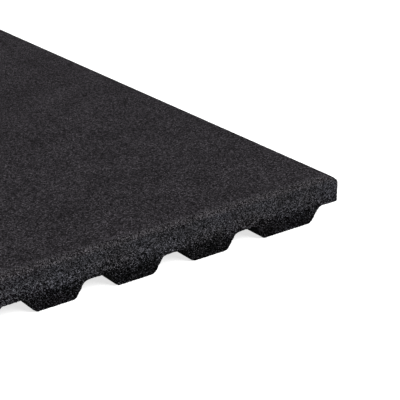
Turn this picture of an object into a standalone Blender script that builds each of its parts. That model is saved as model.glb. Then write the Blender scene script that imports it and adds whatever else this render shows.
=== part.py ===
"""Rubber floor mat, one moulded piece of bonded rubber granules.

A flat slab with an eased top edge stands on parallel ribs. The channels between the ribs drain along Y.
Metres, +Z up, the mat lying flat on the floor. The origin is the middle of its footprint at floor level.
"""
import math

import bmesh
import bpy
from mathutils import Vector

# Whole mat
WIDTH = 1.0              # along X, across the ribs
LENGTH = 1.0             # along Y, the way the ribs run
THICKNESS = 0.045        # floor to walking face

# Ribs, measured where they leave the slab
RIB_HEIGHT = 0.0165
RIB_WIDTH = 0.0595
RIB_PITCH = 0.085
INNER_RIBS = 9
END_RIB_WIDTH = 0.080    # the outermost rib on each side is wider
RIB_SIDE_LEAN = 0.0086   # how far each side leans in from its root to the floor
RIB_END_LEAN = 0.0017    # the same at the ribs' ends, only enough to leave the mould
RIB_ROUND = 0.004        # rounding of the ribs' long edges and of the channels' inner corners
RIB_ROUND_STEPS = 3

# Slab edges
CHAMFER_IN = 0.008       # sloped top edge, measured across the walking face
CHAMFER_DOWN = 0.006     # the same slope, measured down the side
EASING = 0.003           # softens the slope above and below, and the four upright corners
EASING_STEPS = 3

# Worked out from the sizes above
CHANNEL_WIDTH = RIB_PITCH - RIB_WIDTH
RIBS_SPAN = 2 * END_RIB_WIDTH + INNER_RIBS * RIB_WIDTH + (INNER_RIBS + 1) * CHANNEL_WIDTH
SIDE_MARGIN = (WIDTH - RIBS_SPAN) / 2
SHOULDER = THICKNESS - CHAMFER_DOWN      # height where the upright side ends and the slope starts
TOLERANCE = 1e-5

RUBBER_COLOUR = (0.030, 0.029, 0.031, 1.0)
RUBBER_ROUGHNESS = 0.92


def clear_scene():
    for scene_object in list(bpy.data.objects):
        bpy.data.objects.remove(scene_object, do_unlink=True)


def rib_roots():
    """Left and right X of each rib at its root, from -X to +X."""
    widths = [END_RIB_WIDTH] + [RIB_WIDTH] * INNER_RIBS + [END_RIB_WIDTH]
    roots = []
    left = -WIDTH / 2 + SIDE_MARGIN
    for width in widths:
        roots.append((left, left + width))
        left += width + CHANNEL_WIDTH
    return roots


def section_outline():
    """Cross-section of slab and ribs up to the shoulder, as (x, z) points with sharp corners."""
    outline = [(-WIDTH / 2, RIB_HEIGHT)]
    for left, right in rib_roots():
        outline.append((left, RIB_HEIGHT))
        outline.append((left + RIB_SIDE_LEAN, 0.0))
        outline.append((right - RIB_SIDE_LEAN, 0.0))
        outline.append((right, RIB_HEIGHT))
    outline.append((WIDTH / 2, RIB_HEIGHT))
    outline.append((WIDTH / 2, SHOULDER))
    outline.append((-WIDTH / 2, SHOULDER))
    return outline


def runs_along_y(edge):
    start, end = (vert.co for vert in edge.verts)
    return abs(start.x - end.x) < TOLERANCE and abs(start.z - end.z) < TOLERANCE


def extrude_section(mesh):
    """The whole section drawn along Y."""
    corners = [mesh.verts.new((x, -LENGTH / 2, z)) for x, z in section_outline()]
    front = mesh.faces.new(corners)
    swept = bmesh.ops.extrude_face_region(mesh, geom=[front])
    moved = [item for item in swept["geom"] if isinstance(item, bmesh.types.BMVert)]
    bmesh.ops.translate(mesh, verts=moved, vec=Vector((0.0, LENGTH, 0.0)))
    bmesh.ops.recalc_face_normals(mesh, faces=mesh.faces)


def round_ribs(mesh):
    """Rounds the long edges at the floor and the roots, where rib and channel meet."""
    long_edges = []
    for edge in mesh.edges:
        inside_margin = abs(edge.verts[0].co.x) < WIDTH / 2 - TOLERANCE
        if inside_margin and runs_along_y(edge):
            long_edges.append(edge)
    bmesh.ops.bevel(mesh, geom=long_edges, offset=RIB_ROUND, offset_type="OFFSET",
                    segments=RIB_ROUND_STEPS, profile=0.5, affect="EDGES", material=-1)


def lean_rib_ends(mesh):
    """Leans the ends of the ribs inwards towards the floor, while the ends of the slab stay upright."""
    everything = mesh.verts[:] + mesh.edges[:] + mesh.faces[:]
    bmesh.ops.bisect_plane(mesh, geom=everything, dist=TOLERANCE,
                           plane_co=(0.0, 0.0, RIB_HEIGHT), plane_no=(0.0, 0.0, 1.0))
    for vert in mesh.verts:
        depth = max(RIB_HEIGHT - vert.co.z, 0.0)
        vert.co.y -= math.copysign(RIB_END_LEAN * depth / RIB_HEIGHT, vert.co.y)


def slope_top_edge(mesh):
    """Raises the walking face inside a sloped border, then eases its edges and the upright corners."""
    shoulder = max(mesh.faces, key=lambda face: face.calc_center_median().z)
    walking_face = bmesh.ops.extrude_discrete_faces(mesh, faces=[shoulder])["faces"][0]
    bmesh.ops.translate(mesh, verts=walking_face.verts, vec=Vector((0.0, 0.0, CHAMFER_DOWN)))
    narrowed = Vector((1 - 2 * CHAMFER_IN / WIDTH, 1 - 2 * CHAMFER_IN / LENGTH, 1.0))
    bmesh.ops.scale(mesh, verts=walking_face.verts, vec=narrowed)

    upper_edges = []
    for edge in mesh.edges:
        if max(vert.co.z for vert in edge.verts) > SHOULDER - TOLERANCE:
            upper_edges.append(edge)
    bmesh.ops.bevel(mesh, geom=upper_edges, offset=EASING, offset_type="OFFSET",
                    segments=EASING_STEPS, profile=0.5, affect="EDGES", material=-1)


def rubber():
    """Black bonded granules, dry and matt."""
    material = bpy.data.materials.new("rubber_granules")
    material.use_nodes = True
    shader = material.node_tree.nodes["Principled BSDF"]
    shader.inputs["Base Color"].default_value = RUBBER_COLOUR
    shader.inputs["Roughness"].default_value = RUBBER_ROUGHNESS
    shader.inputs["Metallic"].default_value = 0.0
    return material


def build_mat():
    mesh = bmesh.new()
    extrude_section(mesh)
    round_ribs(mesh)
    lean_rib_ends(mesh)
    slope_top_edge(mesh)
    bmesh.ops.recalc_face_normals(mesh, faces=mesh.faces)

    data = bpy.data.meshes.new("mat")
    mesh.to_mesh(data)
    mesh.free()
    data.materials.append(rubber())
    mat = bpy.data.objects.new("mat", data)
    bpy.context.scene.collection.objects.link(mat)
    return mat


clear_scene()
build_mat()
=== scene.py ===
import math
import random

import bmesh
import bpy
from mathutils import Matrix, Vector


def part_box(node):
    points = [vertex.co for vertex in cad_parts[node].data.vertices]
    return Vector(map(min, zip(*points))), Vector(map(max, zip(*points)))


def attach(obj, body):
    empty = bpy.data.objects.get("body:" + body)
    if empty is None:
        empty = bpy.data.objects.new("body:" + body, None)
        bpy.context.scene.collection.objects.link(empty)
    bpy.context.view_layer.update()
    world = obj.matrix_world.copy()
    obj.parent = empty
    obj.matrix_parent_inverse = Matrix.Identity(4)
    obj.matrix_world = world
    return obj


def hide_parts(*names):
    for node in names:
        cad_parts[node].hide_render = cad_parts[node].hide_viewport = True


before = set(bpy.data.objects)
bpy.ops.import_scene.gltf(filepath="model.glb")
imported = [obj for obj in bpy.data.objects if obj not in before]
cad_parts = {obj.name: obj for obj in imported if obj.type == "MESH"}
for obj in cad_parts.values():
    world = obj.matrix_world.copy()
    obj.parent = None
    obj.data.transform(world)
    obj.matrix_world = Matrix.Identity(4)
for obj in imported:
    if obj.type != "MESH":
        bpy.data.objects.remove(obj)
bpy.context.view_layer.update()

scene = bpy.context.scene


# The mat: one piece of black rubber granules, bound with polyurethane and pressed in a shallow mould.
# The walking face comes out dense and fine, the sloped edge, the sides and the ribs' ends show whole
# granules with gaps between them. Nothing is fixed to it, and it lies on its ribs.
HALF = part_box("mat")[1].x
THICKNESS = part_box("mat")[1].z
SLOPE_IN, SLOPE_DOWN, SLOPE_EASING = 0.008, 0.006, 0.003
UPRIGHT_EASING = 0.0015
RIB_HEIGHT = 0.0165
RIB_WIDTH, END_RIB_WIDTH = 0.0595, 0.080
CHANNEL_WIDTH = 0.0255
INNER_RIBS = 9
RIB_MARGIN = 0.02475                     # from the side of the mat to the root of the first rib
RIB_SIDE_LEAN, RIB_END_LEAN = 0.0086, 0.0017
RIB_ROUND = 0.004
ROUNDING_STEPS = 3                       # facets of each rounding
LEAD_IN = 0.010                          # straight run before and after a rib's outline, cut off again
LONG_EDGE = 2 * END_RIB_WIDTH            # only edges that run through under the mat are longer

GRANULE = 0.00145                        # size of the cells that the edges are cut into
LARGEST_CELL = 3 * GRANULE               # cells have no side longer than this
GRANULAR_BORDER = 0.006                  # strip of the walking face that is cut into cells too
COARSE_FROM, COARSE_FADE = 0.0098, 0.0025    # granules begin this far from the side and soon show fully
HIGHLIGHT_FROM, HIGHLIGHT_FADE = 0.0390, 0.0025        # heights of the painted highlight on the upper edge: its start, and its fade
PIT_DEPTH = 0.0006                       # deepest gap between granules
SHUFFLE = 0.40                           # how far a cell's corner strays, as a share of its shortest side
EVENING_TURNS, EVENING = 12, 0.5         # rounds and strength of the smoothing inside the rib ends
SEED = 11
TINY = 1e-5                              # slack where places are compared


def eased_profile(points, rounding):
    """Open profile in Y and Z with its inner corners rounded and its straights cut into granule lengths."""
    profile = bmesh.new()
    corners = [profile.verts.new((0.0, y, z)) for y, z in points]
    for start, end in zip(corners, corners[1:]):
        profile.edges.new((start, end))
    bmesh.ops.bevel(profile, geom=corners[1:-1], offset=rounding, offset_type="OFFSET",
                    segments=ROUNDING_STEPS, profile=0.5, affect="VERTICES", material=-1)
    for edge in list(profile.edges):
        cuts = round(edge.calc_length() / GRANULE) - 1
        if cuts > 0:
            bmesh.ops.subdivide_edges(profile, edges=[edge], cuts=cuts)
    return profile


def draw_row(mesh, row, move):
    """Draws a row of edges out by one move. Gives back the new row and its points."""
    drawn = bmesh.ops.extrude_edge_only(mesh, edges=row)["geom"]
    points = {item for item in drawn if isinstance(item, bmesh.types.BMVert)}
    bmesh.ops.translate(mesh, verts=list(points), vec=move)
    new_row = [item for item in drawn if isinstance(item, bmesh.types.BMEdge) and set(item.verts) <= points]
    return new_row, points


# The border: the profile of slope and side is drawn along one side, mitred and turned four times.
# Its stations stand where ribs and channels begin, so that the ribs' ends can hang from it.
stations = [-HALF, -HALF + RIB_MARGIN - RIB_ROUND]
for rib_width in [END_RIB_WIDTH] + [RIB_WIDTH] * INNER_RIBS + [END_RIB_WIDTH]:
    stations.append(stations[-1] + rib_width + 2 * RIB_ROUND)
    stations.append(stations[-1] + CHANNEL_WIDTH - 2 * RIB_ROUND)
stations[-1] = HALF

mat_mesh = eased_profile([(SLOPE_IN + GRANULAR_BORDER, THICKNESS), (SLOPE_IN, THICKNESS),
                          (0.0, THICKNESS - SLOPE_DOWN), (0.0, RIB_HEIGHT)], SLOPE_EASING)
bmesh.ops.translate(mat_mesh, verts=mat_mesh.verts, vec=(-HALF, -HALF, 0.0))
row = mat_mesh.edges[:]
for start, end in zip(stations, stations[1:]):
    row = draw_row(mat_mesh, row, (end - start, 0.0, 0.0))[0]
for vert in mat_mesh.verts:
    vert.co.x *= abs(vert.co.y) / HALF
one_side = mat_mesh.verts[:] + mat_mesh.edges[:] + mat_mesh.faces[:]
bmesh.ops.spin(mat_mesh, geom=one_side, cent=(0.0, 0.0, 0.0), axis=(0.0, 0.0, 1.0),
               angle=math.radians(270), steps=3, use_duplicate=True)
bmesh.ops.remove_doubles(mat_mesh, verts=mat_mesh.verts, dist=TINY)

# The ends of the ribs, front and back: each hangs from the border's lower edge and narrows row by row
# down the rounded, leaning outline of the rib.
rib_outline = eased_profile([(-LEAD_IN, RIB_HEIGHT), (0.0, RIB_HEIGHT), (RIB_SIDE_LEAN, 0.0),
                             (RIB_SIDE_LEAN + LEAD_IN, 0.0)], RIB_ROUND)
rib_rows = sorted((vert.co.y, vert.co.z) for vert in rib_outline.verts
                  if -RIB_ROUND - TINY < vert.co.y < RIB_SIDE_LEAN + RIB_ROUND + TINY)
rib_outline.free()


def over_rib(edge, left, right, end):
    """True for the border's lower edge over one rib, at the front (-1) or the back (1)."""
    if not edge.is_boundary:
        return False
    return all(abs(vert.co.y - end * HALF) < TINY and left - TINY < vert.co.x < right + TINY
               for vert in edge.verts)


for end in (-1, 1):
    for left, right in zip(stations[1::2], stations[2::2]):
        row = [edge for edge in mat_mesh.edges if over_rib(edge, left, right, end)]
        for (lean, height), (next_lean, next_height) in zip(rib_rows, rib_rows[1:]):
            drop = height - next_height
            row, points = draw_row(mat_mesh, row, (0.0, -end * RIB_END_LEAN * drop / RIB_HEIGHT, -drop))
            for vert in points:
                vert.co.x -= math.copysign(next_lean - lean, vert.co.x - (left + right) / 2)

# The underside: channels and ribs run straight through from the front to the back.
front_outline = []
for edge in mat_mesh.edges:
    low_front = all(vert.co.y < RIB_END_LEAN + TINY - HALF and vert.co.z < RIB_HEIGHT + TINY
                    for vert in edge.verts)
    if edge.is_boundary and low_front and max(abs(vert.co.x) for vert in edge.verts) < HALF - TINY:
        front_outline.append(edge)
for vert in draw_row(mat_mesh, front_outline, (0.0, 0.0, 0.0))[1]:
    vert.co.y = -vert.co.y
bmesh.ops.remove_doubles(mat_mesh, verts=mat_mesh.verts, dist=TINY)

# Extruded edges come in another order on each run. The cage is copied face by face in one fixed order,
# so that the cuts, and the chance values given out after them, are the same every time.
cage = mat_mesh
cage.verts.index_update()
mat_mesh = bmesh.new()
cage_corners = [mat_mesh.verts.new(vert.co) for vert in cage.verts]
for face in sorted(cage.faces, key=lambda face: [vert.index for vert in face.verts]):
    mat_mesh.faces.new([cage_corners[vert.index] for vert in face.verts])
cage.free()

# Border and rib ends are cut into granule-sized cells, then the walking face and both flanges are closed.
cells = {}
for edge in mat_mesh.edges:
    first, second = (vert.co for vert in edge.verts)
    if abs(first.z - second.z) > TINY or (first - second).length > LONG_EDGE:
        continue
    middle = (first + second) / 2
    if abs(first.y - second.y) < TINY:
        along = middle.x * HALF / abs(middle.y)
    elif abs(first.x - second.x) < TINY:
        along = middle.y * HALF / abs(middle.x)
    else:
        continue
    for start, end in zip(stations, stations[1:]):
        if start < along < end:
            cells.setdefault(round((end - start) / GRANULE), []).append(edge)
for count, edges in cells.items():
    bmesh.ops.subdivide_edges(mat_mesh, edges=edges, cuts=count - 1, use_grid_fill=True)
open_edges = [edge for edge in mat_mesh.edges if edge.is_boundary]
bmesh.ops.holes_fill(mat_mesh, edges=open_edges, sides=0)
bmesh.ops.recalc_face_normals(mat_mesh, faces=mat_mesh.faces)

# Rows inside the rib ends are evened out, and the four upright corners are rounded off.
inside_rib_ends = []
for vert in mat_mesh.verts:
    small = max(edge.calc_length() for edge in vert.link_edges) < LARGEST_CELL
    if vert.co.z < RIB_HEIGHT - TINY and small:
        inside_rib_ends.append(vert)
for turn in range(EVENING_TURNS):
    bmesh.ops.smooth_vert(mat_mesh, verts=inside_rib_ends, factor=EVENING,
                          use_axis_x=True, use_axis_y=False, use_axis_z=True)
CORNER = HALF - UPRIGHT_EASING
for vert in mat_mesh.verts:
    out = Vector((abs(vert.co.x) - CORNER, abs(vert.co.y) - CORNER))
    if min(out) > 0.0:
        out *= max(out) / out.length
        vert.co.x = math.copysign(CORNER + out.x, vert.co.x)
        vert.co.y = math.copysign(CORNER + out.y, vert.co.y)


def share(distance, length):
    """A distance as a share of a length, from 0 to 1."""
    return min(max(distance / length, 0.0), 1.0)


# Granules: every corner of a cell strays a little along the surface and sinks into it by chance,
# so each cell becomes the facet of a granule. The walking face stays flat.
pit_layer = mat_mesh.verts.layers.float.new("pit")
coarse_layer = mat_mesh.verts.layers.float.new("coarse")
edge_highlight_layer = mat_mesh.verts.layers.float.new("edge_highlight")
chance = random.Random(SEED)
strays = []
for vert in mat_mesh.verts:
    shortest = min(edge.calc_length() for edge in vert.link_edges)
    inset = HALF - max(abs(vert.co.x), abs(vert.co.y))
    coarse = share(COARSE_FROM - inset, COARSE_FADE)
    depth = chance.random() ** 2             # squared, so most gaps stay shallow
    turn = chance.uniform(0.0, 2 * math.pi)
    away = chance.random() * SHUFFLE * shortest
    across = vert.normal.orthogonal().normalized()
    across.rotate(Matrix.Rotation(turn, 3, vert.normal))
    strays.append(across * away * coarse - vert.normal * PIT_DEPTH * depth * coarse)
    # depth of the pit, for the painted shade down it
    vert[pit_layer] = depth * coarse
    vert[coarse_layer] = coarse
    # band of painted highlight along the upper edge
    vert[edge_highlight_layer] = coarse * share(vert.co.z - HIGHLIGHT_FROM, HIGHLIGHT_FADE)
for vert, stray in zip(mat_mesh.verts, strays):
    if vert[coarse_layer] > 0.0:
        vert.co += stray
        vert.co.z = max(vert.co.z, 0.0)

# The insides of the channels see hardly any light, so the faces that run through under the mat are marked
# as sheltered, and painted shade darkens the rubber there.
sheltered_layer = mat_mesh.faces.layers.float.new("sheltered")
for face in mat_mesh.faces:
    runs_through = max(edge.calc_length() for edge in face.edges) > LONG_EDGE
    if runs_through and face.calc_center_median().z < THICKNESS / 2:
        face[sheltered_layer] = 1.0

mat_data = bpy.data.meshes.new("granular_mat")
mat_mesh.to_mesh(mat_data)
mat_mesh.free()
granular_mat = bpy.data.objects.new("granular_mat", mat_data)
scene.collection.objects.link(granular_mat)

# Finish of the rubber: crumbs of many shades with painted shade in the gaps between them, finer on the
# walking face than on the edges. A list of pairs says what a value becomes at places from 0 to 1.
FACE_CRUMB, EDGE_CRUMB = 0.00115, 0.00080        # mean size of a crumb
FACE_SHADES = [(0.0, 0.04), (0.5, 0.20), (0.8, 0.41), (1.0, 0.78)]
EDGE_SHADES = [(0.0, 0.06), (0.5, 0.28), (1.0, 0.92)]
BEND, BEND_SIZE, BEND_DETAIL = 0.0008, 0.0013, 1.0         # how far and finely the crumbs' outlines wander
FACE_GAPS = [(0.0, 0.3), (0.12, 1.0)]            # painted shade in the gaps, from a crumb's rim inwards
EDGE_GAPS = [(0.0, 0.04), (0.2, 1.0)]
VOID_DEPTH, VOID_SIZE, VOID_DETAIL = 1.0, 0.0013, 1.0      # places on the edges where the crumbs lie apart
GRIT_SHADE, GRIT_SIZE, GRIT_DETAIL = 0.9, 0.0005, 2.0      # rough skin of each crumb
SUNK_SHADES = [(0.0, 1.0), (1.0, 0.6)]           # painted shade down the gaps that are modelled
CLOUD_SHADE, CLOUD_SIZE, CLOUD_DETAIL = 0.3, 0.036, 3.0    # soft light and dark areas
CLOUD_LOW, CLOUD_HIGH = 0.3, 0.7                 # noise values that give the darkest and the lightest
HIGHLIGHT_GAIN = 0.42                                    # how much lighter the painted highlight makes the upper edge
FACE_RUBBER = (0.1230, 0.1124, 0.1263, 1.0)      # tints, each taken times the shade of the crumb
EDGE_RUBBER = (0.1207, 0.1158, 0.1248, 1.0)
EDGE_BLOOM = (0.1140, 0.1158, 0.1347, 1.0)       # faint bluish bloom in places
HIGHLIGHT_RUBBER = (0.1338, 0.1252, 0.1353, 1.0)      # tint of the painted highlight on the upper edge, without the bloom
PAINTED_SHADE_BY_LEVEL = [(0.18, 0.10), (0.31, 0.13), (0.37, 0.25), (0.42, 0.42), (0.47, 0.58), (0.52, 0.70),
                 (0.58, 0.92), (0.62, 1.0), (0.70, 0.95), (0.85, 0.85)]    # share kept under the painted shade, floor to face
PAINTED_SHADE_CONTRAST = [(0.30, 1.0), (0.37, 0.75), (0.55, 0.2), (0.75, 0.0)]     # extra contrast of the painted shade, added to 1, floor to face
MOST_EXTRA = 1.7
TYPICAL_SHADE = 0.25                             # shade that the contrast leaves alone
SHELTERED_KEPT = 0.15                            # share kept under the painted shade inside the channels
CRUMB_RISE, GRIT_RISE = 0.0002, 0.0002           # relief in the bump, in metres
FACE_TILT, EDGE_TILT = 1.0, 1.8                  # how steeply the crumbs lie
CRUMB_ROUGHNESS = [(0.0, 0.70), (1.0, 0.95)]
SHEEN_OF_SKIN = 0.01                             # nearly none, the skin is dull


def bonded_granules():
    """Black crumb rubber. Each crumb has its own shade and tilt, with painted shade in the gaps between
    them.
    """
    material = bpy.data.materials.new("bonded_granules")
    material.use_nodes = True
    nodes, links = material.node_tree.nodes, material.node_tree.links

    def step(kind, inputs, **settings):
        """Adds a node and gives back its outputs. An input is a value or the output of another node."""
        made = nodes.new("ShaderNode" + kind)
        for name, value in settings.items():
            setattr(made, name, value)
        for name, value in inputs.items():
            if isinstance(value, bpy.types.NodeSocket):
                links.new(value, made.inputs[name])
            else:
                made.inputs[name].default_value = value
        return made.outputs

    def times(first, second):
        return step("Math", {0: first, 1: second}, operation="MULTIPLY")[0]

    def plus(first, second):
        return step("Math", {0: first, 1: second}, operation="ADD")[0]

    def spread(chance_value, amount, middle):
        """Spreads a value from 0 to 1 by an amount around a middle."""
        return plus(times(plus(chance_value, -0.5), amount), middle)

    def graded(source, stops):
        """Follows straight stretches between the stops."""
        made = nodes.new("ShaderNodeValToRGB")
        elements = made.color_ramp.elements
        while len(elements) < len(stops):
            elements.new(0.5)
        for element, (position, value) in zip(elements, stops):
            element.position = position
            element.color = (value, value, value, 1.0)
        links.new(source, made.inputs["Fac"])
        return made.outputs["Color"]

    coarse = step("Attribute", {}, attribute_name="coarse")["Fac"]
    pit = step("Attribute", {}, attribute_name="pit")["Fac"]
    edge_highlight = step("Attribute", {}, attribute_name="edge_highlight")["Fac"]
    sheltered = step("Attribute", {}, attribute_name="sheltered")["Fac"]
    place = step("TexCoord", {})["Object"]

    def speckle(size, detail):
        return step("TexNoise", {"Vector": place, "Scale": 1 / size, "Detail": detail})

    def face_or_edge(on_face, on_edge):
        return step("Mix", {"Factor": coarse, "A": on_face, "B": on_edge})["Result"]

    def tinted(factor, first, second):
        """Mixes two colours. Inputs 6 and 7 and output 2 are the node's colour sockets."""
        return step("Mix", {"Factor": factor, 6: first, 7: second}, data_type="RGBA")[2]

    bend = speckle(BEND_SIZE, BEND_DETAIL)["Color"]
    ragged = step("VectorMath", {0: bend, 1: (BEND, BEND, BEND), 2: place}, operation="MULTIPLY_ADD")[0]

    def crumbs(size):
        """Ragged cells: a chance colour for each, the distance to its rim, and the height of its tilt."""
        cell = step("TexVoronoi", {"Vector": ragged, "Scale": 1 / size})
        rim = step("TexVoronoi", {"Vector": ragged, "Scale": 1 / size}, feature="DISTANCE_TO_EDGE")
        from_middle = step("VectorMath", {0: ragged, 1: cell["Position"]}, operation="SUBTRACT")[0]
        turned = step("VectorMath", {0: cell["Color"], 1: (0.5, 0.5, 0.5)}, operation="SUBTRACT")[0]
        tilt = step("VectorMath", {0: from_middle, 1: turned}, operation="DOT_PRODUCT")["Value"]
        return step("SeparateColor", {"Color": cell["Color"]}), rim["Distance"], tilt

    face_chance, face_rim, face_tilt = crumbs(FACE_CRUMB)
    edge_chance, edge_rim, edge_tilt = crumbs(EDGE_CRUMB)
    shade = face_or_edge(graded(face_chance["Red"], FACE_SHADES), graded(edge_chance["Red"], EDGE_SHADES))
    open_rim = spread(speckle(VOID_SIZE, VOID_DETAIL)["Fac"], VOID_DEPTH, edge_rim)
    gap = face_or_edge(graded(face_rim, FACE_GAPS), graded(open_rim, EDGE_GAPS))
    grit = speckle(GRIT_SIZE, GRIT_DETAIL)["Fac"]
    grain = spread(grit, GRIT_SHADE, 1.0)
    # Painted shade in the gaps between crumbs and down the modelled pits.
    shade = times(times(shade, gap), times(grain, graded(pit, SUNK_SHADES)))

    # Painted shade: crumbs darker and more unlike each other towards the floor, and darker inside the
    # channels.
    height = step("SeparateXYZ", {0: place})["Z"]
    level = step("MapRange", {"Value": height, "From Max": THICKNESS})["Result"]
    contrast = plus(times(graded(level, PAINTED_SHADE_CONTRAST), MOST_EXTRA), 1.0)
    shade = step("Math", {0: times(shade, 1 / TYPICAL_SHADE), 1: contrast}, operation="POWER")[0]
    shade = times(times(shade, TYPICAL_SHADE), graded(level, PAINTED_SHADE_BY_LEVEL))
    shade = step("Mix", {"Factor": sheltered, "A": shade, "B": times(shade, SHELTERED_KEPT)})["Result"]

    # Soft clouds over the whole mat, and a painted highlight along the upper edge.
    cloud = speckle(CLOUD_SIZE, CLOUD_DETAIL)["Fac"]
    clouded = step("MapRange", {"Value": cloud, "From Min": CLOUD_LOW, "From Max": CLOUD_HIGH})["Result"]
    shade = times(times(shade, spread(clouded, CLOUD_SHADE, 1.0)), plus(times(edge_highlight, HIGHLIGHT_GAIN), 1.0))
    tint = tinted(coarse, FACE_RUBBER, tinted(clouded, EDGE_RUBBER, EDGE_BLOOM))
    tint = tinted(edge_highlight, tint, HIGHLIGHT_RUBBER)
    colour = step("VectorMath", {0: tint, "Scale": shade}, operation="SCALE")[0]

    # Relief: crumbs stand out of the gaps and lie tilted, each its own way, with a rough skin.
    relief = plus(times(gap, CRUMB_RISE), times(grit, GRIT_RISE))
    relief = plus(relief, face_or_edge(times(face_tilt, FACE_TILT), times(edge_tilt, EDGE_TILT)))
    normal = step("Bump", {"Height": relief, "Distance": 1.0})["Normal"]

    rubber = nodes["Principled BSDF"]
    rubber.inputs["Specular IOR Level"].default_value = SHEEN_OF_SKIN
    links.new(graded(edge_chance["Green"], CRUMB_ROUGHNESS), rubber.inputs["Roughness"])
    links.new(colour, rubber.inputs["Base Color"])
    links.new(normal, rubber.inputs["Normal"])
    return material


mat_data.materials.append(bonded_granules())
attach(granular_mat, "root")
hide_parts("mat")


# The studio floor: a plain sheet of pale milky board, wide enough to fill the view from every side. It is
# lit a little from below, so that the shadow in the mat's channels stays light.
FLOOR_REACH = 60.0
BOARD = (0.45, 0.45, 0.45, 1.0)
BOARD_ROUGHNESS = 0.9
LIGHT_BELOW = (1.0, 1.0, 1.0, 1.0)
LIGHT_BELOW_STRENGTH = 0.72
floor_mesh = bmesh.new()
bmesh.ops.create_grid(floor_mesh, x_segments=1, y_segments=1, size=FLOOR_REACH)
floor_data = bpy.data.meshes.new("floor")
floor_mesh.to_mesh(floor_data)
floor_mesh.free()
floor = bpy.data.objects.new("floor", floor_data)
scene.collection.objects.link(floor)
milky_board = bpy.data.materials.new("milky_board")
milky_board.use_nodes = True
board_shader = milky_board.node_tree.nodes["Principled BSDF"]
board_shader.inputs["Base Color"].default_value = BOARD
board_shader.inputs["Roughness"].default_value = BOARD_ROUGHNESS
board_shader.inputs["Emission Color"].default_value = LIGHT_BELOW
board_shader.inputs["Emission Strength"].default_value = LIGHT_BELOW_STRENGTH
floor_data.materials.append(milky_board)


# The light: an even white room, and one broad key light high from the front and a little from the right.
ROOM_WHITE = (1.0, 1.0, 1.0, 1.0)
ROOM_STRENGTH = 0.54
KEY_STRENGTH = 4.9
KEY_SPREAD = math.radians(40)
KEY_FROM = Vector((0.25, -0.72, 0.72))
KEY_AWAY = 3
room = bpy.data.worlds.new("studio")
room.use_nodes = True
room.node_tree.nodes["Background"].inputs["Color"].default_value = ROOM_WHITE
room.node_tree.nodes["Background"].inputs["Strength"].default_value = ROOM_STRENGTH
scene.world = room

key_data = bpy.data.lights.new("key", "SUN")
key_data.energy = KEY_STRENGTH
key_data.angle = KEY_SPREAD
key = bpy.data.objects.new("key", key_data)
scene.collection.objects.link(key)
key.location = KEY_FROM * KEY_AWAY
key.rotation_euler = (-KEY_FROM).to_track_quat("-Z", "Y").to_euler()


# The camera, at the photograph's viewing angle: from the left, down on the front right corner.
PHOTO_SIDE = 400
FOCAL_PIXELS = 1324.3
YAW, PITCH = math.radians(36.99), math.radians(22.99)
SENSOR = 36.0
CAMERA_PLACE = (-0.3493, -1.3971, 0.538)
camera_data = bpy.data.cameras.new("camera")
camera_data.sensor_width = SENSOR
camera_data.lens = FOCAL_PIXELS / PHOTO_SIDE * SENSOR
camera = bpy.data.objects.new("camera", camera_data)
scene.collection.objects.link(camera)
camera.location = CAMERA_PLACE
looking = Vector((math.sin(YAW) * math.cos(PITCH), math.cos(YAW) * math.cos(PITCH), -math.sin(PITCH)))
camera.rotation_euler = looking.to_track_quat("-Z", "Y").to_euler()
scene.camera = camera

scene.view_settings.view_transform = "Standard"
